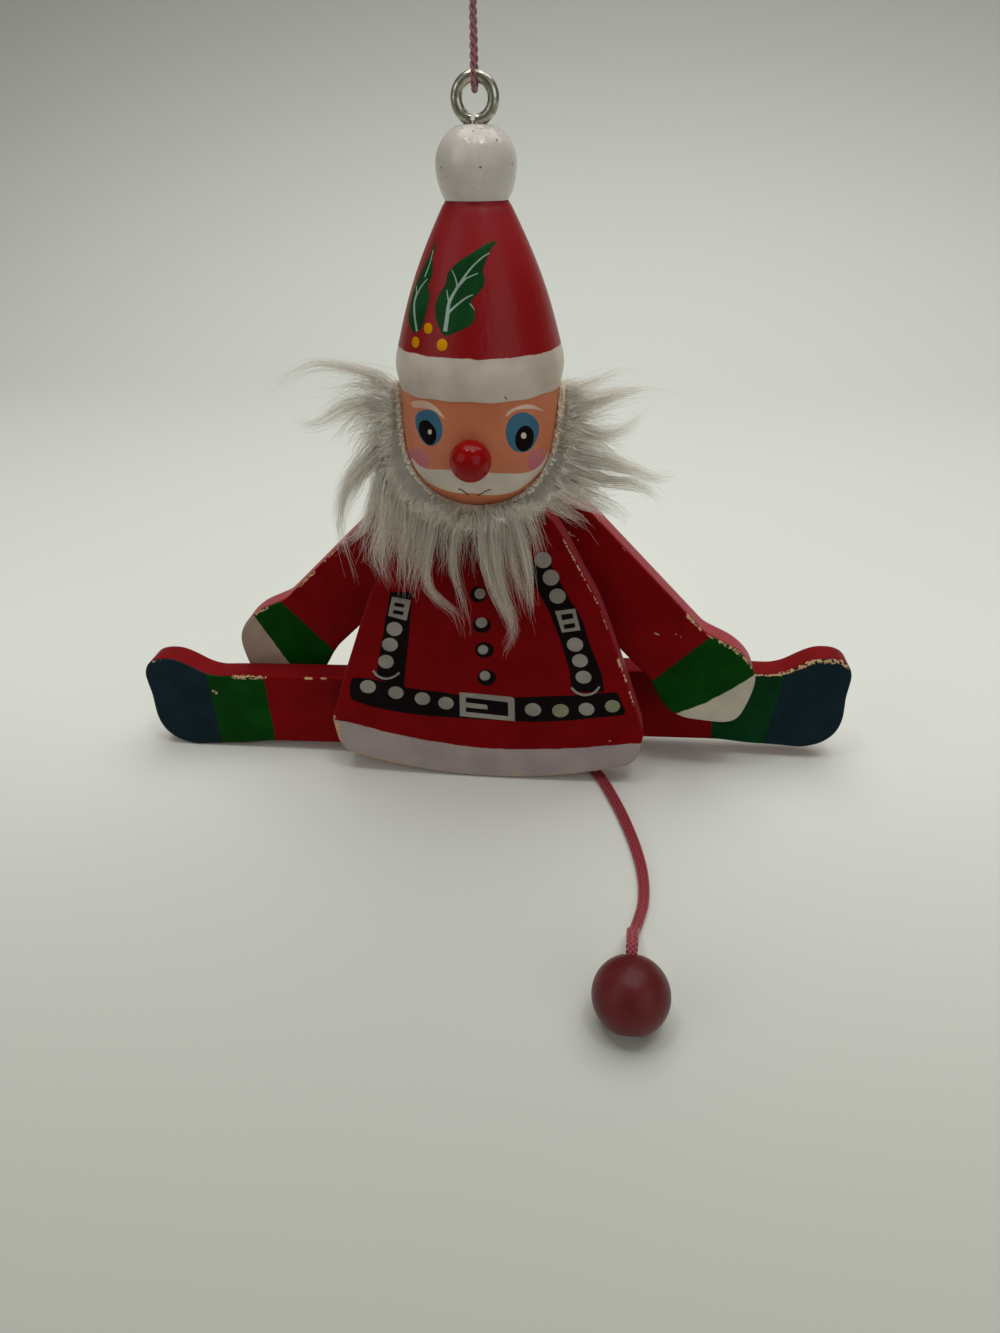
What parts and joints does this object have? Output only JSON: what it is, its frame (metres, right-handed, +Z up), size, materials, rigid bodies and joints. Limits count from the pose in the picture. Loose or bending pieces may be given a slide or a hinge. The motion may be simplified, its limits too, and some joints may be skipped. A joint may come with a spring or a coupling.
{
  "type": "pull string jumping jack",
  "caption": "Flat wooden pull-string jumping jack: a red-coated winter figure with turned hat and head, plush beard, hinged arms and legs",
  "frame": {"origin": "Top of the hanging loop, just under its knot", "axes": "+Z up along the hanging cord, the face looks toward -Y, +X to the right of someone facing it"},
  "size_m": [0.1513, 0.0873, 0.1579],
  "materials": {
    "painted_wood_red": "gloss paint, worn at the edges",
    "painted_wood_flesh": "satin paint",
    "painted_wood_white": "gloss paint with small marks",
    "painted_wood_blue_black": "gloss paint over plywood",
    "stained_wood_wine": "satin lacquer",
    "bare_wood": "unfinished turned wood",
    "nickel_steel": "nickel plated",
    "plush_backing": "glued cloth",
    "plush_pile": "long plush pile",
    "plain_string": "twisted cotton",
    "red_braid": "satin braid",
    "wine_braid": "satin braid"
  },
  "bodies": {
    "figure": {"coat_board": "painted_wood_red", "head": "painted_wood_flesh", "hat": "painted_wood_red", "pompom": "painted_wood_white", "screw_eye": "nickel_steel", "nose": "painted_wood_red", "beard_backing": "plush_backing", "beard_left": "plush_pile", "beard_right": "plush_pile", "beard_front": "plush_pile", "shoulder_nail_left": "nickel_steel", "shoulder_nail_right": "nickel_steel", "hip_nail_left": "nickel_steel", "hip_nail_right": "nickel_steel", "shoulder_spacer": "bare_wood", "hip_spacer": "bare_wood", "hang_cord": "wine_braid", "hang_knot": "wine_braid"},
    "left_arm": {"arm_left": "painted_wood_red", "arm_tack_left": "nickel_steel"},
    "right_arm": {"arm_right": "painted_wood_red", "arm_tack_right": "nickel_steel"},
    "left_leg": {"leg_left": "painted_wood_blue_black", "leg_tack_left": "nickel_steel"},
    "right_leg": {"leg_right": "painted_wood_blue_black", "leg_tack_right": "nickel_steel"},
    "pull_run": {"arm_tie": "plain_string", "leg_tie": "plain_string", "centre_string": "plain_string"},
    "bead_run": {"pull_cord": "red_braid", "pull_bead": "stained_wood_wine", "bead_knot": "red_braid"}
  },
  "joints": [
    {"name": "left_hip", "type": "hinge", "parent": "figure", "child": "left_leg", "pos_m": [-0.0115, 0.0064, -0.1405], "axis": [0, 1, 0], "range_deg": [-70, 44]},
    {"name": "right_hip", "type": "hinge", "parent": "figure", "child": "right_leg", "pos_m": [0.0115, 0.0128, -0.1405], "axis": [0, -1, 0], "range_deg": [-70.05, 44.05]},
    {"name": "left_shoulder", "type": "hinge", "parent": "figure", "child": "left_arm", "pos_m": [-0.015, 0.0128, -0.1], "axis": [0, 1, 0], "range_deg": [-31.55, 19.85]},
    {"name": "right_shoulder", "type": "hinge", "parent": "figure", "child": "right_arm", "pos_m": [0.015, 0.0064, -0.1], "axis": [0, -1, 0], "range_deg": [-31.55, 19.85]},
    {"name": "pull_slide", "type": "slide", "parent": "figure", "child": "pull_run", "axis": [0, 0, -1], "range_m": [-0.00485, 0.00306]},
    {"name": "bead_slide", "type": "slide", "parent": "pull_run", "child": "bead_run", "axis": [0.6364, -0.3083, 0.7071], "range_m": [-0.00686, 0.00433]}
  ],
  "couplings": [
    {"joint": "right_hip", "follows": "left_hip", "ratio": 1},
    {"joint": "left_shoulder", "follows": "left_hip", "ratio": 0.45},
    {"joint": "right_shoulder", "follows": "left_hip", "ratio": 0.45},
    {"joint": "pull_slide", "follows": "left_hip", "m_per_rad": 0.00396},
    {"joint": "bead_slide", "follows": "left_hip", "m_per_rad": 0.0056003}
  ]
}
